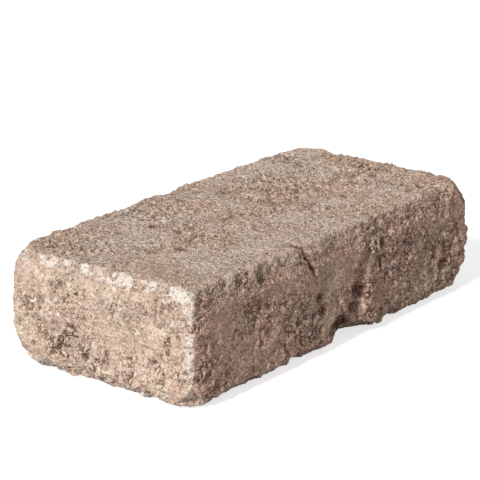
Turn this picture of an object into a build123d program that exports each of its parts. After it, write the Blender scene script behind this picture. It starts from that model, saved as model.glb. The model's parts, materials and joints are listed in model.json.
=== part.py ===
"""Tumbled concrete paver: one dry-cast block whose arrises and corners were knocked off in a drum.

The block lies on its bed. X runs along it, Y across it and Z up, and the origin is the middle of the
bed. The front is the long side at -Y, and the left end is the short side at -X.
"""

import os
from math import hypot, sqrt

from build123d import *

# The block as it leaves the mould
length = 177.8
width = 88.9
height = 44.45

# Wear that runs all the way round
upright_radius = 9.0  # the four upright corners
wearing_radius = 5.5  # the rim of the wearing face
bed_radius = 6.0  # the rim of the bed

# Flats struck on the corners, below the round
strike_bite = 0.9  # the front left corner of the wearing face, the least worn
crown_bite = 2.2  # the other corners of the wearing face
foot_bite = 2.8  # the corners of the bed

# Flakes off the level arrises, in three sizes taken in turn: the scoop's radius and its bite
flake_sizes = ((14.0, 1.5), (22.0, 1.1), (11.0, 1.2))
flake_pitch = 11.0
flake_end_gap = 12.0  # the corners have wear of their own

# Shallow hollows in the sides, where the face dragged on the mould
hollow_radius = 130.0
hollow_depth = 0.7
hollow_pitch = 55.0

# The scar in the front: a flake split off the bed arris and ran up the face, leaning to the right
scar_foot_x = 2.0
scar_tip_x = 17.0
scar_rise = 39.0
scar_foot_radius = 12.0
scar_tip_radius = 1.8
scar_foot_depth = 5.0
scar_tip_depth = 0.8
scar_overrun = 0.2  # how much of its own length the cutter runs on below the bed

# The knuckle of the scar, a deeper pocket where the blow landed
knuckle_x = -1.0
knuckle_rise = 5.0
knuckle_radius = 8.5
knuckle_depth = 5.5

# The heel of the scar, where the bed arris broke off under it
heel_x = 10.0
heel_radius = 15.0
heel_drop = 8.0  # how far the middle of the round lies below the bed
heel_stand = 1.5  # and how far in front of the face

# The long spall along the bed arris, left of the scar
skirt_x = -60.0
skirt_radius = 45.0
skirt_bite = 1.6

# The cleft that opens at the front wearing arris and runs down the face
cleft_top_x = -30.5
cleft_toe_x = -18.5
cleft_drop = 10.0
cleft_width = 3.4
cleft_depth = 6.5

# The smooth flat right of the cleft, where a spall came away
spall_x = -3.0
spall_radius = 60.0
spall_bite = 1.5

# The pinhole left of the cleft
pinhole_x = -50.5
pinhole_width = 2.0
pinhole_rise = 3.6
pinhole_drop = 5.5
pinhole_depth = 4.0

cut_clearance = 1.0  # how far a cutter stands clear of the face that it enters

GOLDEN = (sqrt(5) - 1) / 2


def uneven(index, low, high):
    """One of an endless run of well-mixed values between low and high."""
    return low + (high - low) * ((index * GOLDEN) % 1)


def spread(run, pitch, end_gap, seed):
    """Unevenly spaced places about the middle of a run, clear of its ends."""
    count = int((run - 2 * end_gap) // pitch)
    return [(k - (count - 1) / 2 + uneven(k + seed, -0.3, 0.3)) * pitch for k in range(count)]


def worn_away(facing, rim):
    """How far the round of the block lies below its sharp corner or arris, looking along facing."""
    x, y, z = (abs(part) for part in facing)
    return upright_radius * (x + y) - (upright_radius - rim) * hypot(x, y) - rim * (1 - z)


def strike(corner, outward, rim, bite):
    """Splits a flat off a corner, square to outward, that deep below the round of the block."""
    facing = outward.normalized()
    depth = worn_away(facing, rim) + bite
    split(bisect_by=Plane(origin=corner - facing * depth, z_dir=facing), keep=Keep.BOTTOM)


def ball(centre, outward, radius):
    """Cuts a ball out, turned so that its seam faces away from the block."""
    along = outward.cross(Vector(0, 0, 1)) if abs(outward.Z) < 0.9 else Vector(0, 1, 0)
    with Locations(Plane(origin=centre, x_dir=outward, z_dir=along)):
        Sphere(radius, mode=Mode.SUBTRACT)


def scoop(edge, outward, rim, radius, bite):
    """Takes a round flake off an arris, that deep below the round of the block."""
    facing = outward.normalized()
    ball(edge + facing * (radius - bite - worn_away(facing, rim)), facing, radius)


RIMS = ((height, 1, wearing_radius), (0, -1, bed_radius))

with BuildPart() as paver:
    with BuildSketch():
        Rectangle(length, width)
    extrude(amount=height)
    fillet(paver.edges().filter_by(Axis.Z), upright_radius)
    fillet(paver.faces().sort_by(Axis.Z)[-1].edges(), wearing_radius)
    fillet(paver.faces().sort_by(Axis.Z)[0].edges(), bed_radius)

    # Struck corners, each blow but the first leaning towards one of the faces
    for end in (-1, 1):
        for side in (-1, 1):
            for z, up, rim in RIMS:
                corner = Vector(end * length / 2, side * width / 2, z)
                bite = foot_bite if up < 0 else crown_bite
                if (end, side, up) == (-1, -1, 1):
                    bite = strike_bite
                for x, y, rise in ((1, 1, 1), (2, 1, 1), (1, 2, 1), (1, 1, 2)):
                    strike(corner, Vector(x * end, y * side, rise * up), rim, bite)

    # Shallow hollows in both long sides and both ends
    hollow_out = hollow_radius - hollow_depth
    for way in (-1, 1):
        side = Vector(0, way, 0)
        for x in spread(length, hollow_pitch, 0, 5 + way):
            middle = Vector(x, way * width / 2, height / 2)
            ball(middle + side * hollow_out, side, hollow_radius)
        end = Vector(way, 0, 0)
        ball(end * (length / 2 + hollow_out) + Vector(0, 0, height / 2), end, hollow_radius)

    # Flakes along the level arrises
    turn = 0
    for z, up, rim in RIMS:
        for way in (-1, 1):
            arrises = [
                (Vector(x, way * width / 2, z), Vector(0, way, up))
                for x in spread(length, flake_pitch, flake_end_gap, turn)
            ]
            arrises += [
                (Vector(way * length / 2, y, z), Vector(way, 0, up))
                for y in spread(width, flake_pitch, flake_end_gap, turn)
            ]
            for edge, outward in arrises:
                radius, bite = flake_sizes[turn % len(flake_sizes)]
                scoop(edge, outward, rim, radius, bite)
                turn += 1

    # The spalls in the front arrises
    front = -width / 2
    scoop(Vector(spall_x, front, height), Vector(0, -1, 1), wearing_radius, spall_radius, spall_bite)
    scoop(Vector(skirt_x, front, 0), Vector(0, -1, -1), bed_radius, skirt_radius, skirt_bite)

    # The scar, its knuckle and its heel
    foot = Vector(scar_foot_x, front - scar_foot_radius + scar_foot_depth, 0)
    tip = Vector(scar_tip_x, front - scar_tip_radius + scar_tip_depth, scar_rise)
    below = (foot - tip) * scar_overrun
    with Locations(Plane(origin=foot + below, z_dir=tip - foot)):
        Cone(
            scar_foot_radius,
            scar_tip_radius,
            (tip - foot - below).length,
            align=(Align.CENTER, Align.CENTER, Align.MIN),
            mode=Mode.SUBTRACT,
        )
    knuckle = Vector(knuckle_x, front - knuckle_radius + knuckle_depth, knuckle_rise)
    ball(knuckle, Vector(0, -1, 0), knuckle_radius)
    heel = Vector(heel_x, front - heel_stand, -heel_drop)
    ball(heel, Vector(0, -1, 0), heel_radius)

    # The cleft and the pinhole
    with BuildSketch(Plane.XZ.offset(-front - cleft_depth)):
        with BuildLine():
            Polyline(
                (cleft_top_x, height + cut_clearance),
                (cleft_top_x + cleft_width, height + cut_clearance),
                (cleft_toe_x, height - cleft_drop),
                close=True,
            )
        make_face()
    extrude(amount=cleft_depth + cut_clearance, mode=Mode.SUBTRACT)
    with BuildSketch(Plane.XZ.offset(-front - pinhole_depth)):
        with Locations((pinhole_x, height - pinhole_drop)):
            Ellipse(pinhole_width / 2, pinhole_rise / 2)
    extrude(amount=pinhole_depth + cut_clearance, mode=Mode.SUBTRACT)

paver.part.label = "paver"
os.makedirs("parts", exist_ok=True)
export_step(paver.part, "parts/paver.step")
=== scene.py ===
"""Looks of a tumbled concrete paver: one cast block, finished as worn, pitted, sandy concrete."""

import json
import math

import bpy
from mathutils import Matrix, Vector

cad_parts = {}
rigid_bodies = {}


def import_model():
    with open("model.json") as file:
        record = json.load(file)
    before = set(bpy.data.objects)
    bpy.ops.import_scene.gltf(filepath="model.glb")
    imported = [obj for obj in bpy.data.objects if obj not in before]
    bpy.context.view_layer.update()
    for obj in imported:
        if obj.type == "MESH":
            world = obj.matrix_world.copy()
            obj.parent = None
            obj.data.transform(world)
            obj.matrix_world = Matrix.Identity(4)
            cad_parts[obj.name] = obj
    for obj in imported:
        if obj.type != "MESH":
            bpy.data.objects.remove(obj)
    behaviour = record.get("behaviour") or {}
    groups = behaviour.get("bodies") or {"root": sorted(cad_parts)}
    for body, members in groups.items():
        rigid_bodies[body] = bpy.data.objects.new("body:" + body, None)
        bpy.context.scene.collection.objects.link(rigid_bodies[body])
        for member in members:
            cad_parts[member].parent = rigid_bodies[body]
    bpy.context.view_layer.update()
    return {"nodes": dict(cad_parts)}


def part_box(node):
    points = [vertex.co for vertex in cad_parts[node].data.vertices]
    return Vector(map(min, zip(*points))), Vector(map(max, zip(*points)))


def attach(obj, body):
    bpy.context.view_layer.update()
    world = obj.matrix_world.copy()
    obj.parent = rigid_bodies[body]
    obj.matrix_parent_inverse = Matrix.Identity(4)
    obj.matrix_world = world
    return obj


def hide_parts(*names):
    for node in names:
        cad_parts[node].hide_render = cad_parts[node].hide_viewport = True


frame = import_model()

LOW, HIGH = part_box("paver")
MM = 0.001

# The view that the photograph was taken from
CAMERA_AZIMUTH = -52.02
CAMERA_ELEVATION = 18.10
CAMERA_DISTANCE = 0.838
CAMERA_AIM = (0.0, 0.0049, 0.0312)
CAMERA_LENS = 164.55

# How the block is meshed: what is merged and how fine a voxel is, in mm, and how many triangles stay
MERGE_REACH = 0.002
VOXEL = 0.62
SMOOTHING_ROUNDS = 3
TRIANGLES = 190000

# Sand: the size of a grain in mm, its least and greatest share of that, how many grains lie on a
# square metre, and how far above the bed the lowest ones lie, in mm
SAND_GRAIN = 0.68
SAND_SMALLEST = 0.5
SAND_LARGEST = 1.3
SAND_DENSITY = 560000
SAND_FLOOR = 1.0

# Relief of the worn concrete: how long each kind of bump is and how high, in mm
SWELL_LENGTH = 26.0
SWELL_HEIGHT = 1.5
LOBE_LENGTH = 8.5
LOBE_HEIGHT = 2.2
LUMP_LENGTH = 4.0
LUMP_HEIGHT = 1.7
CRUST_LENGTH = 2.8
CRUST_HEIGHT = 2.6
PIT_DEPTH = 1.4
SEAM_LENGTH = 3.4
SEAM_DEPTH = 0.7

# How patterns are pushed about, so that none looks regular: over what length and how far, in mm
WARP_LENGTH = 5.0
WARP_REACH = 3.0

# Wear along an arris: how far inside its faces' planes it begins and where it is full, in mm
ARRIS_REACH = 7.0
ARRIS_CREST = 1.5

# How far the front left upright arris stands out, in mm
CRISP_UPRIGHT = 0.9

# The crest of the front and left wearing arrises, in mm
CREST_INSET = 2.8  # how far in from the face's plane it lies
CREST_SLOPE = 0.27  # how far the face under it leans out for each mm down
CREST_CUT = 1.6  # the most that it takes off
CREST_FILL = 1.3  # and the most that it adds
CREST_SHARE = 0.88  # how much of that move is made

# Blots and streaks: how much of their reach their middle fills, and how narrow a streak's tip is
BLOT_CORE = 0.3
STREAK_CORE = 0.35
STREAK_TIP = 0.45
STREAK_WEIGHTS = (1.0, 0.4, 1.0)  # how much each axis counts in the distance from a streak

# Pits in two sizes: how far apart they lie in mm, the share without one, and the widest reach
PITS = ((8.0, 0.25, 0.21), (3.6, 0.38, 0.22))

# Patterns of the colour: how long each is, or how far apart its marks lie, in mm
PATCH_LENGTH = 46.0
BLOT_LENGTH = 17.0
SMALL_LENGTH = 7.0
CLOUD_LENGTH = 14.0
CRUMB_LENGTH = 2.6
LEVEL_SPECK = 1.4
UPRIGHT_SPECK = 0.95
STONE_SPACING = 2.1
FLECK_SPACING = 2.7
CRACK_WIDTH = 1.15
CRACK_LEAN = 0.45
BLOOM_LENGTH = 5.0
GRAIN_LENGTH = 1.15

# Light: where the sun stands, its strength and its width in degrees, and the strength of the sky
SUN_FROM = (-0.80, -0.055, 0.60)
SUN_ENERGY = 2.95
SUN_WIDTH = 9.0
SKY_STRENGTH = 0.28

# The floor, in metres, the grey that it lights the block with, and how much it glows to the camera
FLOOR_SIZE = 12.0
FLOOR_DROP = 0.0002
FLOOR_GREY = 0.65
FLOOR_GLOW = 0.70

# Places that stayed smooth, and ones worn down to the raw stone: the middle in mm, and the reach
SMOOTH_PLACES = (
    ((-4.0, -44.0, 34.0), 22.0),
    ((-72.0, -44.0, 31.0), 15.0),
    ((-70.0, -20.0, 44.0), 30.0),
    ((-30.0, -34.0, 44.0), 24.0),
)
RAW_PLACES = (
    ((-26.0, -44.0, 12.0), 22.0),
    ((34.0, -44.0, 26.0), 22.0),
    ((66.0, -44.0, 14.0), 26.0),
    ((-89.0, 10.0, 10.0), 26.0),
    ((34.0, 10.0, 44.0), 28.0),
    ((66.0, -4.0, 44.0), 30.0),
    ((-24.0, 28.0, 44.0), 24.0),
)

# Pockets in the faces, and knobs that stand out of them: the middle in mm, the reach and the depth
POCKETS = (
    ((3.0, -41.0, 7.5), 5.0, 2.4),
    ((8.0, -42.5, 12.3), 3.4, 1.8),
    ((10.0, -42.5, 18.5), 3.8, 1.5),
    ((16.0, -44.4, 15.0), 7.5, -1.4),
    ((14.5, -44.0, 21.5), 4.0, -1.0),
    ((17.0, -44.4, 6.0), 6.0, -0.9),
    ((86.0, -42.8, 19.5), 7.0, -0.8),
)

# Single pits, darkened with dirt and painted shade: the middle in mm, the reach and the depth
DARKENED_PITS = (
    ((-29.3, -44.5, 18.0), 2.1, 1.2),
    ((24.6, -44.3, 34.0), 2.3, 1.3),
    ((-14.2, -44.0, 22.0), 2.3, 1.0),
    ((-13.0, -43.8, 17.0), 2.6, 1.0),
    ((-38.4, 15.3, 44.3), 2.6, 1.3),
    ((-7.2, 29.0, 44.3), 2.4, 1.2),
    ((-3.5, 36.5, 44.0), 2.4, 1.0),
    ((-70.9, 8.1, 44.4), 1.8, 0.9),
    ((-38.8, 3.5, 44.4), 1.9, 0.9),
    ((-53.4, -10.0, 44.4), 1.6, 0.9),
    ((10.7, 22.0, 44.4), 2.4, 1.1),
    ((36.0, -18.0, 44.4), 2.2, 1.1),
)

# Creases: where each starts and ends in mm, its half width and its depth
CREASES = (
    ((-26.0, -39.6, 45.0), (-21.3, -43.0, 40.0), 2.3, 2.8),
    ((-22.4, -43.0, 42.0), (-18.4, -44.0, 32.5), 2.1, 2.6),
    ((20.0, -44.5, 35.5), (21.2, -44.3, 28.5), 0.9, 1.0),
    ((24.5, -44.5, 29.0), (22.5, -44.5, 24.5), 0.9, 1.0),
    ((-38.0, -36.6, 44.4), (-24.5, -39.6, 44.4), 0.45, 0.8),
)

# Notches in the outline: the middle in mm, how far each reaches and how deep it is
NOTCHES = (
    ((85.8, -42.6, 28.0), 3.8, 2.2),
    ((87.0, -42.0, 14.0), 4.5, 1.6),
    ((86.0, -42.0, 7.6), 3.5, 0.6),
    ((-61.0, 43.5, 43.5), 4.5, 1.4),
    ((-36.0, 43.5, 43.5), 5.5, 1.3),
    ((-25.0, 43.5, 43.5), 5.5, 1.6),
    ((-3.0, 43.5, 43.5), 6.0, 2.4),
    ((28.0, 43.5, 43.5), 4.5, 1.4),
    ((47.0, 43.5, 43.5), 4.0, 1.3),
    ((67.0, 43.5, 43.5), 5.0, 1.6),
    ((77.0, 42.0, 43.5), 5.5, 1.5),
    ((87.0, -30.0, 43.0), 6.0, 1.8),
    ((-26.5, -41.5, 1.5), 6.0, 2.6),
    ((32.5, -41.0, 1.5), 5.5, 3.2),
)


def srgb(red, green, blue):
    """A colour as it is seen, 0 to 255, as the linear colour that a shader takes."""
    def linear(value):
        share = value / 255
        return share / 12.92 if share <= 0.04045 else ((share + 0.055) / 1.055) ** 2.4

    return (linear(red), linear(green), linear(blue), 1.0)


# Colours of the concrete
BEIGE = srgb(204, 183, 168)
TAN = srgb(196, 166, 144)
PINK = srgb(204, 174, 160)
MAUVE = srgb(200, 162, 146)
OLIVE = srgb(196, 168, 146)
ROSE = srgb(210, 174, 158)
PEACH = srgb(212, 183, 164)
SAND = srgb(212, 188, 166)
CREAM = srgb(232, 210, 192)
UMBER = srgb(100, 68, 50)
LIME = srgb(238, 222, 202)
RUST = srgb(182, 130, 98)
# dark brown of dirt, also used as painted shade in pits, seams and creases
BROWN_DIRT_AND_SHADE = srgb(96, 60, 42)
# white of the lime bloom, also used as painted light at the left end's foot
WHITE_BLOOM_AND_LIGHT = srgb(244, 236, 226)
CHALK = srgb(246, 232, 214)

# Where dirt and painted shade darken the hollows: the middle in mm, how far it reaches and how thick
# it is
DIRT_AND_SHADE_PLACES = (
    ((3.0, -41.0, 6.5), 7.0, 0.95),
    ((8.0, -42.5, 12.3), 4.2, 0.85),
    ((10.0, -42.5, 18.5), 4.8, 0.7),
    ((8.0, -43.5, 24.0), 6.0, 0.3),
    ((-50.5, -43.0, 39.0), 3.2, 0.85),
)

# Dirt and painted shade in the single pits: how thick it is, and how far it spreads round them and
# round the creases
DIRT_AND_SHADE_IN_PITS = 0.95
ROUND_PITS = 1.3
ROUND_CREASES = 1.15


class Net:
    """Writes a node tree as calls. Each call but put gives back the socket with its result."""

    def __init__(self, tree):
        self.tree = tree

    def put(self, kind, sockets, **settings):
        """Adds a node, sets it up, and feeds the sockets that are named or numbered."""
        made = self.tree.nodes.new(kind)
        for name, value in settings.items():
            setattr(made, name, value)
        for name, value in sockets.items():
            if isinstance(value, bpy.types.NodeSocket):
                self.tree.links.new(value, made.inputs[name])
            else:
                made.inputs[name].default_value = value
        return made

    def math(self, operation, *values, clamp=False):
        sockets = dict(enumerate(values))
        return self.put("ShaderNodeMath", sockets, operation=operation, use_clamp=clamp).outputs[0]

    def chain(self, operation, values):
        """Works through the values from left to right."""
        result = values[0]
        for value in values[1:]:
            result = self.math(operation, result, value)
        return result

    def times(self, *values):
        return self.chain("MULTIPLY", values)

    def plus(self, *values):
        return self.chain("ADD", values)

    def minus(self, *values):
        return self.chain("SUBTRACT", values)

    def higher(self, *values):
        return self.chain("MAXIMUM", values)

    def lower(self, *values):
        return self.chain("MINIMUM", values)

    def vector(self, operation, *values):
        sockets = dict(enumerate(values))
        return self.put("ShaderNodeVectorMath", sockets, operation=operation).outputs[0]

    def scaled(self, vector, factor):
        sockets = {0: vector, "Scale": factor}
        return self.put("ShaderNodeVectorMath", sockets, operation="SCALE").outputs[0]

    def parts(self, vector):
        return self.put("ShaderNodeSeparateXYZ", {0: vector}).outputs

    def joined(self, x, y, z):
        return self.put("ShaderNodeCombineXYZ", {0: x, 1: y, 2: z}).outputs[0]

    def step(self, value, start, end, low=0.0, high=1.0):
        """Goes smoothly from low to high as value goes from start to end."""
        sockets = {0: value, 1: start, 2: end, 3: low, 4: high}
        return self.put("ShaderNodeMapRange", sockets, interpolation_type="SMOOTHSTEP").outputs[0]

    def noise(self, place, length, detail=2.0, roughness=0.5, out="Fac"):
        """Soft noise from 0 to 1, with blots about that long."""
        sockets = {"Vector": place, "Scale": 1 / length, "Detail": detail, "Roughness": roughness}
        return self.put("ShaderNodeTexNoise", sockets).outputs[out]

    def cells(self, place, length, out="Distance"):
        """Irregular cells about that long: the distance from the middle, or a colour for each."""
        return self.put("ShaderNodeTexVoronoi", {"Vector": place, "Scale": 1 / length}).outputs[out]

    def blend(self, share, first, second):
        """Mixes two values."""
        sockets = {0: share, 2: first, 3: second}
        return self.put("ShaderNodeMix", sockets, data_type="FLOAT").outputs[0]

    def tint(self, share, first, second):
        """Mixes two colours."""
        sockets = {0: share, 6: first, 7: second}
        return self.put("ShaderNodeMix", sockets, data_type="RGBA").outputs[2]

    def warped(self, place, length, reach):
        """The place, pushed about so that no pattern on it looks regular."""
        push = self.vector("SUBTRACT", self.noise(place, length, out="Color"), (0.5, 0.5, 0.5))
        return self.vector("ADD", place, self.scaled(push, reach))


def near(net, place, centre, reach):
    """A blot round a named place in mm: 1 at its middle, 0 from its reach on."""
    sockets = {0: place, 1: centre}
    gap = net.put("ShaderNodeVectorMath", sockets, operation="DISTANCE").outputs["Value"]
    return net.step(gap, reach, reach * BLOT_CORE)


def along(net, place, start, end, breadth):
    """A tapering streak from a start to an end in mm: 1 along its middle, 0 from its breadth on."""
    run = (Vector(end) - Vector(start)) * Vector(STREAK_WEIGHTS)
    offset = net.vector("MULTIPLY", net.vector("SUBTRACT", place, start), STREAK_WEIGHTS)
    sockets = {0: offset, 1: run / run.length_squared}
    share = net.put("ShaderNodeVectorMath", sockets, operation="DOT_PRODUCT").outputs["Value"]
    share = net.lower(net.higher(share, 0.0), 1.0)
    sockets = {0: offset, 1: net.scaled(run, share)}
    gap = net.put("ShaderNodeVectorMath", sockets, operation="DISTANCE").outputs["Value"]
    here = net.times(net.blend(share, 1.0, STREAK_TIP), breadth)
    return net.step(gap, here, net.times(here, STREAK_CORE))


def raw_of(net, place):
    """How far a place is worn down to the raw stone, from 0 to 1."""
    loose = net.warped(place, 9.0, 10.0)
    raw = net.step(net.noise(place, 19.0, 3.0, 0.6), 0.42, 0.58, 0.15, 0.85)
    raw = net.higher(raw, net.higher(0.0, *[near(net, loose, *spot) for spot in RAW_PLACES]))
    smooth = net.higher(0.0, *[near(net, loose, *spot) for spot in SMOOTH_PLACES])
    return net.times(raw, net.minus(1.0, net.times(smooth, 0.85)))


def marks_of(net, place, raw):
    """The pits in the surface and the worm-shaped seams between its lumps, each from 0 to 1."""
    bent = net.warped(place, WARP_LENGTH, WARP_REACH)
    pits = []
    for spacing, bare, widest in PITS:
        chance = net.parts(net.cells(bent, spacing, out="Color"))[0]
        reach = net.step(chance, bare, 1.0, 0.0, widest)
        deep = net.minus(reach, net.cells(bent, spacing))
        pits.append(net.math("MULTIPLY", deep, spacing * 2.0, clamp=True))
    pit = net.times(net.higher(0.0, *pits), net.blend(raw, 0.25, 1.0))
    seam = net.math("ABSOLUTE", net.minus(net.noise(bent, SEAM_LENGTH, 1.5, 0.6), 0.5))
    shown = net.step(net.noise(place, 6.5, 2.0), 0.48, 0.56)
    seam = net.times(net.step(seam, 0.075, 0.02), net.times(shown, raw))
    return pit, seam


def gaps_of(net, place):
    """How far a place lies inside the planes of the block's faces: the least, and the second."""
    x, y, z = net.parts(place)
    to_end = net.minus(HIGH.x / MM, net.math("ABSOLUTE", x))
    to_side = net.minus(HIGH.y / MM, net.math("ABSOLUTE", y))
    to_level = net.lower(z, net.minus(HIGH.z / MM, z))
    nearer = net.lower(to_end, to_side)
    further = net.higher(to_end, to_side)
    least = net.lower(nearer, to_level)
    return least, net.higher(nearer, net.lower(further, to_level))


def crisp_of(net, place, least):
    """How far the front left upright arris, the one that wore least, stands out, in mm."""
    x, y, z = net.parts(place)
    share = net.times(net.step(x, -68.0, -80.0), net.step(y, -24.0, -35.0))
    share = net.times(share, net.step(z, 40.0, 35.0), CRISP_UPRIGHT)
    rounding = net.times(net.lower(least, 2.5), net.step(least, 3.8, 2.8))
    return net.times(rounding, share)


def crest_of(net, place, normal):
    """How far the surface moves to give the front and left wearing arrises their crest, in mm."""
    x, y, z = net.parts(place)
    across, deep, up = net.parts(normal)
    drop = net.minus(HIGH.z / MM, z)
    move = net.math("DIVIDE", net.minus(drop, 0.1), net.higher(up, 0.3))
    zone = 0.0
    front = (y, LOW.y / MM, deep, net.step(x, 74.0, 46.0))
    left = (x, LOW.x / MM, across, net.step(y, 42.0, 30.0))
    for place_out, plane, facing_out, run in (front, left):
        inset = net.minus(place_out, plane)
        out = net.higher(net.times(facing_out, -1.0), 0.3)
        lean = net.plus(out, net.times(net.higher(up, 0.0), CREST_SLOPE))
        gap = net.plus(net.minus(inset, CREST_INSET), net.times(drop, CREST_SLOPE))
        move = net.lower(move, net.math("DIVIDE", gap, lean))
        zone = net.higher(zone, net.times(net.step(inset, 8.0, 6.0), run))
    move = net.lower(net.higher(move, -CREST_CUT), CREST_FILL)
    zone = net.times(zone, net.step(drop, 9.0, 6.5))
    return net.times(move, zone, CREST_SHARE)


def relief_of(net, place, normal):
    """The height of the worn surface above the cast one, in mm, and what the finish needs of it."""
    least, second = gaps_of(net, place)
    wear = net.step(second, ARRIS_REACH, ARRIS_CREST)
    facing = net.parts(normal)
    level = net.step(net.math("ABSOLUTE", facing[2]), 0.5, 0.9)
    raw = raw_of(net, place)
    tame = net.times(net.blend(level, 1.0, 0.8), net.blend(raw, 0.6, 1.35))
    rough = net.higher(tame, wear)
    bent = net.warped(place, WARP_LENGTH, WARP_REACH)

    swell = net.minus(net.noise(place, SWELL_LENGTH), 0.5)
    swell = net.times(swell, net.blend(wear, 0.5, 1.0), SWELL_HEIGHT, rough)

    lobe = net.minus(0.42, net.cells(bent, LOBE_LENGTH))
    lobe = net.times(lobe, LOBE_HEIGHT, wear)

    lump = net.minus(0.42, net.cells(bent, LUMP_LENGTH))
    lump = net.times(lump, net.blend(wear, 0.6, 1.0), LUMP_HEIGHT, rough)

    crust = net.noise(place, CRUST_LENGTH, 3.0, 0.75)
    grit = net.times(net.minus(crust, 0.5), CRUST_HEIGHT, rough)

    pit, seam = marks_of(net, place, raw)
    height = net.plus(net.plus(swell, lobe), net.plus(lump, grit))
    height = net.minus(height, net.times(pit, PIT_DEPTH), net.times(seam, SEAM_DEPTH))
    height = net.plus(height, crisp_of(net, place, least), crest_of(net, place, normal))
    for middle, reach, depth in NOTCHES + POCKETS + DARKENED_PITS:
        dent = net.times(near(net, bent, middle, reach), depth)
        height = net.minus(height, dent)
    for start, end, breadth, depth in CREASES:
        dent = net.times(along(net, bent, start, end, breadth), depth)
        height = net.minus(height, dent)
    return height, wear, crust


def geometry_tree(name):
    """A tree of geometry nodes, the net that fills it, and the shape that it is given."""
    tree = bpy.data.node_groups.new(name, "GeometryNodeTree")
    for way in ("INPUT", "OUTPUT"):
        tree.interface.new_socket("Geometry", in_out=way, socket_type="NodeSocketGeometry")
    net = Net(tree)
    return tree, net, net.put("NodeGroupInput", {}).outputs[0]


def relief_tree():
    """Geometry nodes that raise the relief and keep what the finish needs to know of it."""
    tree, net, shape = geometry_tree("worn_relief")
    position = net.put("GeometryNodeInputPosition", {}).outputs[0]
    normal = net.put("GeometryNodeInputNormal", {}).outputs[0]
    place = net.scaled(position, 1 / MM)
    height, wear, crust = relief_of(net, place, normal)

    notes = (("cast_place", "FLOAT_VECTOR", place), ("cast_facing", "FLOAT_VECTOR", normal),
             ("wear", "FLOAT", wear), ("crust", "FLOAT", crust))
    for name, kind, value in notes:
        sockets = {"Geometry": shape, "Name": name, "Value": value}
        shape = net.put("GeometryNodeStoreNamedAttribute", sockets, data_type=kind).outputs[0]

    moved = net.vector("ADD", position, net.scaled(normal, net.times(height, MM)))
    x, y, z = net.parts(moved)
    on_bed = net.joined(x, y, net.higher(z, LOW.z))
    sockets = {"Geometry": shape, "Position": on_bed}
    net.put("NodeGroupOutput", {0: net.put("GeometryNodeSetPosition", sockets).outputs[0]})
    return tree


def apply(piece, kind, **settings):
    """Adds a modifier to a piece, sets it up and applies it."""
    modifier = piece.modifiers.new(kind.lower(), kind)
    for name, value in settings.items():
        setattr(modifier, name, value)
    bpy.ops.object.modifier_apply(modifier=modifier.name)


def copied(piece, name):
    """A copy of a piece, under a name of its own."""
    bpy.ops.object.select_all(action="DESELECT")
    piece.select_set(True)
    bpy.context.view_layer.objects.active = piece
    bpy.ops.object.duplicate()
    bpy.context.object.name = name
    return bpy.context.object


def cast_block():
    """The block, copied from the cast solid, closed, evenly meshed and given its relief."""
    block = copied(frame["nodes"]["paver"], "tumbled_paver")
    bpy.ops.object.parent_clear(type="CLEAR_KEEP_TRANSFORM")
    for key in list(block.keys()):
        del block[key]
    bpy.ops.object.mode_set(mode="EDIT")
    bpy.ops.mesh.select_all(action="SELECT")
    bpy.ops.mesh.remove_doubles(threshold=MERGE_REACH * MM)
    bpy.ops.object.mode_set(mode="OBJECT")
    apply(block, "REMESH", mode="VOXEL", voxel_size=VOXEL * MM)
    apply(block, "SMOOTH", iterations=SMOOTHING_ROUNDS, factor=0.5)
    apply(block, "NODES", node_group=relief_tree())
    apply(block, "DECIMATE", ratio=TRIANGLES / (2 * len(block.data.polygons)))
    bpy.ops.object.shade_smooth()
    return block


def sand_tree():
    """Geometry nodes that strew angular grains over a surface, half sunk in it."""
    tree, net, shape = geometry_tree("strewn_sand")
    height = net.parts(net.put("GeometryNodeInputPosition", {}).outputs[0])[2]
    above = net.math("GREATER_THAN", height, SAND_FLOOR * MM)
    sockets = {"Mesh": shape, "Selection": above, "Density": SAND_DENSITY, "Seed": 7}
    points = net.put("GeometryNodeDistributePointsOnFaces", sockets).outputs["Points"]
    sockets = {"Segments": 4, "Rings": 2, "Radius": SAND_GRAIN / 2 * MM}
    grain = net.put("GeometryNodeMeshUVSphere", sockets).outputs["Mesh"]
    sockets = {1: (2 * math.pi,) * 3, 8: 1}
    turn = net.put("FunctionNodeRandomValue", sockets, data_type="FLOAT_VECTOR").outputs[0]
    sockets = {0: (SAND_SMALLEST,) * 3, 1: (SAND_LARGEST,) * 3, 8: 2}
    size = net.put("FunctionNodeRandomValue", sockets, data_type="FLOAT_VECTOR").outputs[0]
    sockets = {"Points": points, "Instance": grain, "Rotation": turn, "Scale": size}
    grains = net.put("GeometryNodeInstanceOnPoints", sockets).outputs[0]
    shade = net.put("FunctionNodeRandomValue", {8: 3}, data_type="FLOAT").outputs[1]
    sockets = {"Geometry": grains, "Name": "shade", "Value": shade}
    settings = {"data_type": "FLOAT", "domain": "INSTANCE"}
    grains = net.put("GeometryNodeStoreNamedAttribute", sockets, **settings).outputs[0]
    grains = net.put("GeometryNodeRealizeInstances", {0: grains}).outputs[0]
    net.put("NodeGroupOutput", {0: grains})
    return tree


def exposed_sand(block):
    """The grains of sand that stand out of the worn block."""
    grains = copied(block, "exposed_sand")
    apply(grains, "NODES", node_group=sand_tree())
    return grains


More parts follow.
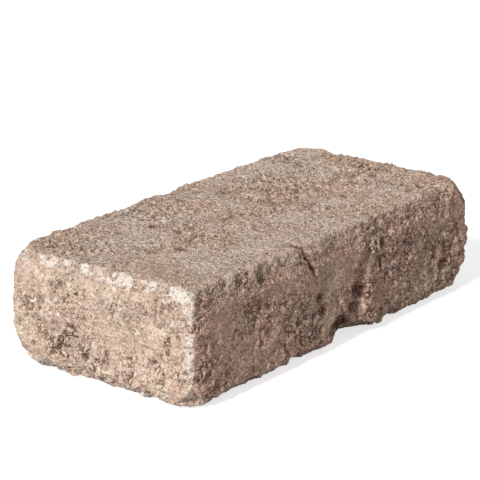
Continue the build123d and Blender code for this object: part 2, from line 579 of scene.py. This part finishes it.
def paste_of(net, place, facing, raw):
    """The paste's colour, beige to tan above, mauve to olive on the sides and buff at the ends.

    Also how far a place belongs to an end, and how far to a long side, each from 0 to 1.
    """
    x, _, z = net.parts(place)
    across, deep, _ = net.parts(facing)
    end = net.step(net.math("ABSOLUTE", across), 0.62, 0.88)
    side = net.step(net.math("ABSOLUTE", deep), 0.55, 0.85)
    broad = net.noise(place, PATCH_LENGTH, 4.0, 0.6)
    blot = net.noise(net.vector("ADD", place, (70.0, 0.0, 20.0)), BLOT_LENGTH, 4.0, 0.6)
    small = net.noise(net.vector("ADD", place, (0.0, 50.0, 0.0)), SMALL_LENGTH, 3.0, 0.6)

    bare = net.plus(net.times(raw, 0.16), net.plus(broad, -0.08))
    top = net.tint(net.step(bare, 0.42, 0.60), BEIGE, TAN)
    top = net.tint(net.step(blot, 0.50, 0.64, 0.0, 0.5), top, PINK)

    rim = net.step(z, 34.0, 42.0, 0.0, 0.05)
    foot = net.times(net.step(z, 20.0, 8.0, 0.0, 0.07), net.step(x, -50.0, 10.0))
    damp = net.plus(blot, rim, foot)
    flank = net.tint(net.step(damp, 0.50, 0.62), MAUVE, OLIVE)
    flank = net.tint(net.step(small, 0.50, 0.66, 0.0, 0.5), flank, ROSE)

    butt = net.tint(net.step(blot, 0.42, 0.60), PEACH, SAND)
    butt = net.tint(net.step(small, 0.52, 0.66, 0.0, 0.8), butt, CREAM)
    return net.tint(end, net.tint(side, top, flank), butt), end, side


def blank_material(name):
    """A material with no nodes yet, and the net that fills it."""
    material = bpy.data.materials.new(name)
    material.use_nodes = True
    material.node_tree.nodes.clear()
    return material, Net(material.node_tree)


def kept(net, name, out="Fac"):
    """What the relief kept under a name, at the place that is shaded."""
    return net.put("ShaderNodeAttribute", {}, attribute_name=name).outputs[out]


def matt(net, sockets, roughness, shine):
    """A matt surface, which sends back little light as a mirror would."""
    shader = net.put("ShaderNodeBsdfPrincipled", sockets)
    shader.inputs["Roughness"].default_value = roughness
    shader.inputs["Specular IOR Level"].default_value = shine
    net.put("ShaderNodeOutputMaterial", {"Surface": shader.outputs[0]})


def concrete():
    """Weathered concrete: a sandy, pitted paste with pale grains, brown pits and a white bloom, with
    painted shade in its hollows and painted light at the left end's foot.
    """
    material, net = blank_material("weathered_concrete")
    place = kept(net, "cast_place", "Vector")
    wear = kept(net, "wear")
    crust = kept(net, "crust")
    x, y, z = net.parts(place)
    raw = raw_of(net, place)
    pit, seam = marks_of(net, place, raw)
    paste, end, side = paste_of(net, place, kept(net, "cast_facing", "Vector"), raw)
    upright = net.higher(end, side)

    # Light and dark places, large and small
    cloud = net.step(net.noise(place, CLOUD_LENGTH, 4.0, 0.65), 0.36, 0.62, 0.84, 1.10)
    crumb = net.step(net.noise(place, CRUMB_LENGTH, 3.0, 0.65), 0.32, 0.68, 0.86, 1.10)
    # Painted light: the long sides grow lighter towards their left end, the end the key light comes
    # from. They are also a little lighter throughout.
    painted_light_leftward = net.times(side, net.step(x, 0.0, -70.0, 0.0, 0.16))
    tone = net.times(cloud, crumb, net.plus(painted_light_leftward, net.blend(side, 1.0, 1.045)))
    colour = net.scaled(paste, tone)

    # Sand: fine dark and pale specks, most of them where the paste has worn away
    on_level = net.noise(place, LEVEL_SPECK, 2.0, 0.75)
    on_upright = net.noise(place, UPRIGHT_SPECK, 2.0, 0.75)
    speck = net.blend(upright, on_level, on_upright)
    seen = net.times(net.blend(raw, 0.5, 1.0), net.blend(end, net.blend(side, 0.8, 1.0), 0.65))
    # Painted shade and highlight: dark specks gather in the crust's hollows and pale ones on its
    # crests
    dark = net.times(net.step(speck, 0.46, 0.41), seen, net.step(crust, 0.60, 0.40, 0.5, 1.0))
    pale = net.times(net.step(speck, 0.55, 0.60), seen, net.step(crust, 0.40, 0.60, 0.4, 1.0))
    colour = net.tint(net.times(dark, 0.95), colour, UMBER)
    colour = net.tint(net.times(pale, 0.9), colour, LIME)

    # Single stones that show their colour
    stone_place = net.warped(place, 2.0, 1.0)
    stone = net.parts(net.cells(stone_place, STONE_SPACING, out="Color"))
    core = net.step(net.cells(stone_place, STONE_SPACING), 0.48, 0.34)
    shown = net.times(net.step(stone[0], 0.86, 0.92), core)
    kind = net.tint(stone[1], RUST, LIME)
    colour = net.tint(net.times(shown, 0.5), colour, kind)

    # Cream flecks, where the ends are chipped
    chip_place = net.warped(place, 1.8, 1.8)
    chip = net.parts(net.cells(chip_place, FLECK_SPACING, out="Color"))
    core = net.step(net.cells(chip_place, FLECK_SPACING), 0.38, 0.28)
    fleck = net.times(net.step(chip[0], 0.76, 0.82), core, end)
    colour = net.tint(net.times(fleck, net.blend(chip[1], 0.4, 1.0)), colour, CHALK)

    # Pits and seams are brown: dirt in them, and painted shade
    low = net.higher(pit, net.times(seam, net.blend(end, 0.85, 1.0)))
    colour = net.tint(net.times(low, 0.88), colour, BROWN_DIRT_AND_SHADE)

    # Dirt and painted shade in the scar, the cleft, the pinhole and the creases
    loose = net.warped(place, WARP_LENGTH, WARP_REACH)
    blots = [net.times(near(net, loose, middle, reach), share)
             for middle, reach, share in DIRT_AND_SHADE_PLACES]
    blots += [net.times(near(net, loose, middle, reach * ROUND_PITS), DIRT_AND_SHADE_IN_PITS)
              for middle, reach, _ in DARKENED_PITS]
    blots += [along(net, loose, start, stop, breadth * ROUND_CREASES)
              for start, stop, breadth, _ in CREASES]
    # painted shade: the darkening is thicker in the crust's hollows
    dirt_and_shade = net.times(net.higher(0.0, *blots), net.step(crust, 0.62, 0.42, 0.7, 1.0))
    colour = net.tint(dirt_and_shade, colour, BROWN_DIRT_AND_SHADE)

    # The front wearing arris: pale on its crest, and notched by fine cracks below it
    brow = net.times(net.step(z, 42.4, 43.4), net.step(y, -37.5, -39.5))
    below = net.times(net.step(y, -40.6, -41.8), net.step(z, 35.0, 39.5))
    colour = net.scaled(colour, net.blend(below, 1.0, 0.9))
    leaning = net.joined(net.plus(x, net.times(z, CRACK_LEAN)), net.times(y, 0.3), net.times(z, 0.3))
    notched = net.noise(leaning, CRACK_WIDTH, 3.0, 0.7)
    colour = net.tint(net.times(brow, net.step(notched, 0.46, 0.58, 0.1, 0.6)), colour, BEIGE)
    crack = net.times(below, net.step(notched, 0.44, 0.37, 0.0, 0.85))
    colour = net.tint(crack, colour, BROWN_DIRT_AND_SHADE)

    # Lime bloom along the arrises of the left end; along its bottom arris and in its foot corner the
    # white is partly painted light, lifting their shade
    end_gap = net.minus(x, LOW.x / MM)
    front_share = net.step(y, -34.0, -40.0)
    # painted light: the band along the bottom arris, under 9 mm up, is whitened against its shade
    lime_and_light_bands = net.higher(net.step(z, 30.0, 36.0), front_share, net.step(z, 9.0, 5.0))
    crest = net.step(net.plus(wear, net.times(front_share, 0.25)), 0.35, 0.85)
    # painted light: the foot corner, where the end meets the bed, is whitened against its shade
    reach = net.higher(net.step(end_gap, 6.0, 2.0), net.step(net.plus(end_gap, z), 15.0, 10.0))
    bloom_and_painted_light = net.times(reach, net.times(crest, lime_and_light_bands))
    blotted = net.step(net.noise(place, BLOOM_LENGTH, 4.0, 0.75), 0.485, 0.53)
    bloom_and_painted_light = net.times(bloom_and_painted_light, blotted, net.minus(1.0, side))
    colour = net.tint(net.times(bloom_and_painted_light, 0.85), colour, WHITE_BLOOM_AND_LIGHT)

    # Bumps too fine for the mesh
    fine = net.noise(place, GRAIN_LENGTH, 1.0, 0.5)
    bumps = net.minus(net.times(fine, 1.2), net.times(low, 0.4), net.times(dark, 0.25))
    bump = net.put("ShaderNodeBump", {"Strength": 1.0, "Distance": MM, "Height": bumps}).outputs[0]

    matt(net, {"Base Color": colour, "Normal": bump}, roughness=0.92, shine=0.25)
    return material


def sand():
    """Grains of sand, each with its own shade between dark brown, the paste's and a pale one."""
    material, net = blank_material("weathered_sand")
    place = net.scaled(net.put("ShaderNodeTexCoord", {}).outputs["Object"], 1 / MM)
    shade = kept(net, "shade")
    facing = kept(net, "cast_facing", "Vector")
    paste, _, side = paste_of(net, place, facing, raw_of(net, place))
    colour = net.tint(net.step(shade, 0.38, 0.14, 0.0, 0.85), paste, UMBER)
    pale = net.times(net.step(shade, 0.60, 0.84, 0.0, 0.85), net.blend(side, 1.0, 0.4))
    colour = net.tint(pale, colour, LIME)
    matt(net, {"Base Color": colour}, roughness=0.85, shine=0.3)
    return material


def backdrop_material():
    """White to the camera, keeping the shadow that falls on it, and plain to the object."""
    material, net = blank_material("white_floor")
    path = net.put("ShaderNodeLightPath", {})
    seen = net.higher(path.outputs["Is Camera Ray"], path.outputs["Is Glossy Ray"])
    glow = net.put("ShaderNodeEmission", {"Color": (1, 1, 1, 1), "Strength": FLOOR_GLOW}).outputs[0]
    plain = net.put("ShaderNodeBsdfDiffuse", {"Color": (FLOOR_GREY,) * 3 + (1,)}).outputs[0]
    lit = net.put("ShaderNodeAddShader", {0: glow, 1: plain}).outputs[0]
    surface = net.put("ShaderNodeMixShader", {0: seen, 1: plain, 2: lit}).outputs[0]
    net.put("ShaderNodeOutputMaterial", {"Surface": surface})
    return material


def floor():
    """A plain white floor that reaches past the view."""
    bpy.ops.mesh.primitive_plane_add(size=FLOOR_SIZE, location=(0, 0, -FLOOR_DROP))
    plane = bpy.context.object
    plane.name = "floor"
    plane.data.materials.append(backdrop_material())


def world():
    """Even light from all round, white to the camera."""
    sky = bpy.data.worlds.new("studio")
    bpy.context.scene.world = sky
    sky.use_nodes = True
    sky.node_tree.nodes.clear()
    net = Net(sky.node_tree)
    path = net.put("ShaderNodeLightPath", {})
    rays = ("Is Camera Ray", "Is Transmission Ray", "Is Glossy Ray")
    seen = net.higher(*(path.outputs[ray] for ray in rays))
    strength = net.blend(seen, SKY_STRENGTH, 1.0)
    light = net.put("ShaderNodeBackground", {"Color": (1, 1, 1, 1), "Strength": strength}).outputs[0]
    net.put("ShaderNodeOutputWorld", {"Surface": light})


def lamp():
    """The key light, low from the left end."""
    turn = Vector(SUN_FROM).to_track_quat("Z", "Y").to_euler()
    bpy.ops.object.light_add(type="SUN", rotation=turn)
    sun = bpy.context.object
    sun.name = "key"
    sun.data.energy = SUN_ENERGY
    sun.data.angle = math.radians(SUN_WIDTH)


def camera():
    """The camera, at the place that the photograph was taken from."""
    azimuth = math.radians(CAMERA_AZIMUTH)
    elevation = math.radians(CAMERA_ELEVATION)
    flat = math.cos(elevation)
    back = Vector((math.sin(azimuth) * flat, -math.cos(azimuth) * flat, math.sin(elevation)))
    turn = back.to_track_quat("Z", "Y").to_euler()
    bpy.ops.object.camera_add(location=Vector(CAMERA_AIM) + back * CAMERA_DISTANCE, rotation=turn)
    made = bpy.context.object
    made.data.lens = CAMERA_LENS
    bpy.context.scene.camera = made


camera()
paver = cast_block()
paver.data.materials.clear()
paver.data.materials.append(concrete())
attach(paver, "root")
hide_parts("paver")
grit = exposed_sand(paver)
grit.data.materials.clear()
grit.data.materials.append(sand())
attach(grit, "root")
floor()
world()
lamp()
bpy.context.scene.view_settings.view_transform = "Standard"
